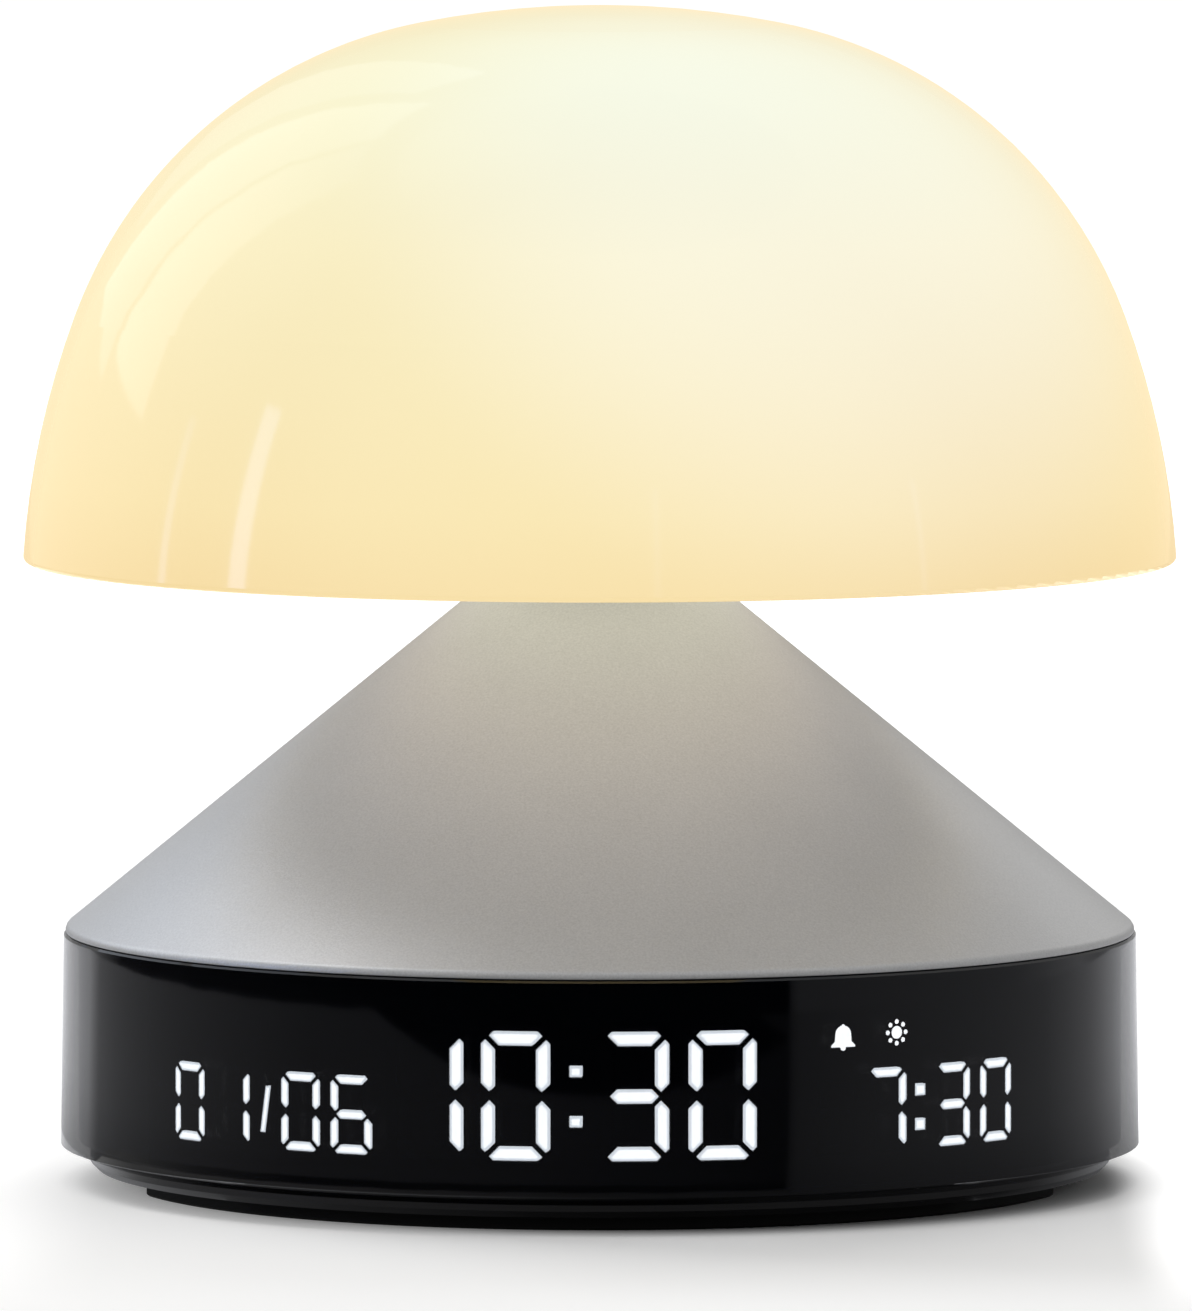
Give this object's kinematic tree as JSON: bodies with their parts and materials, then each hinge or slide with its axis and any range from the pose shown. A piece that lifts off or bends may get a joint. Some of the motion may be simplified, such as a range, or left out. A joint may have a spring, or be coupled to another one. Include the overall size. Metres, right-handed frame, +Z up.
{
  "type": "sunrise alarm clock",
  "caption": "Bedside sunrise alarm clock: glowing opal dome lamp on a satin aluminium cone, over a round gloss black base with a curved time, date and alarm display.",
  "frame": {"origin": "centre of the feet on the surface it stands on", "axes": "+Z up, -Y out of the display's middle, +X to the right of someone who reads it"},
  "size_m": [0.1216, 0.1216, 0.1241],
  "materials": {
    "opal_shade": "gloss",
    "opal_plate": "satin",
    "hub_metal": "satin",
    "steel": "satin",
    "white_board": "satin",
    "led_yellow": "gloss",
    "cone_metal": "bead blasted and anodised",
    "smoked_lens": "polished",
    "inner_black": "matt",
    "cover_black": "satin",
    "foot_rubber": "matt",
    "mask_black": "matt",
    "light_guide": "frosted",
    "flex_amber": "satin",
    "green_board": "satin",
    "socket_white": "satin",
    "chip_black": "matt",
    "foam_tape": "matt",
    "battery_wrap": "satin",
    "lead_red": "satin",
    "lead_black": "satin",
    "spring_metal": "satin",
    "magnet_grey": "satin",
    "paper_black": "matt",
    "panel_black": "fine texture",
    "switch_black": "matt",
    "socket_metal": "satin",
    "pin_black": "matt",
    "button_rubber": "matt",
    "plunger_white": "satin"
  },
  "bodies": {
    "clock": {"dome_shade": "opal_shade", "shade_underplate": "opal_plate", "lamp_hub": "hub_metal", "lamp_screws": "steel", "led_board": "white_board", "led_emitters": "led_yellow", "led_board_screws": "steel", "neck_collar": "cone_metal", "cone_shell": "cone_metal", "display_band": "smoked_lens", "chassis": "inner_black", "bottom_cover": "cover_black", "foot_front": "foot_rubber", "foot_rear": "foot_rubber", "base_screws": "steel", "segment_mask": "mask_black", "time_segments": "light_guide", "date_segments": "light_guide", "alarm_segments": "light_guide", "status_icons": "light_guide", "display_flex": "flex_amber", "display_leds": "led_yellow", "main_board": "green_board", "board_screws": "steel", "board_sockets": "socket_white", "board_chips": "chip_black", "battery_tape": "foam_tape", "battery": "battery_wrap", "battery_lead": "lead_red", "touch_contact": "spring_metal", "touch_lead": "lead_black", "lamp_cable": "lead_black", "speaker_gasket": "foam_tape", "speaker_frame": "steel", "speaker_magnet": "magnet_grey", "speaker_diaphragm": "paper_black", "speaker_screws": "steel", "speaker_lead": "lead_black", "rear_panel": "panel_black", "control_board": "green_board", "panel_screws": "steel", "switch_bodies": "switch_black", "usb_socket": "socket_metal", "control_header": "pin_black"},
    "alarm_key": {"alarm_button": "button_rubber", "alarm_plunger": "plunger_white"},
    "minus_key": {"minus_button": "button_rubber", "minus_plunger": "plunger_white"},
    "light_key": {"light_button": "button_rubber", "light_plunger": "plunger_white"},
    "plus_key": {"plus_button": "button_rubber", "plus_plunger": "plunger_white"},
    "sound_key": {"sound_button": "button_rubber", "sound_plunger": "plunger_white"}
  },
  "joints": [
    {"name": "alarm_press", "type": "slide", "parent": "clock", "child": "alarm_key", "axis": [0, -1, 0], "range_m": [0, 0.0005], "stiffness_N_per_m": 2500},
    {"name": "minus_press", "type": "slide", "parent": "clock", "child": "minus_key", "axis": [0, -1, 0], "range_m": [0, 0.0005], "stiffness_N_per_m": 2500},
    {"name": "light_press", "type": "slide", "parent": "clock", "child": "light_key", "axis": [0, -1, 0], "range_m": [0, 0.0005], "stiffness_N_per_m": 2500},
    {"name": "plus_press", "type": "slide", "parent": "clock", "child": "plus_key", "axis": [0, -1, 0], "range_m": [0, 0.0005], "stiffness_N_per_m": 2500},
    {"name": "sound_press", "type": "slide", "parent": "clock", "child": "sound_key", "axis": [0, -1, 0], "range_m": [0, 0.0005], "stiffness_N_per_m": 2500}
  ]
}
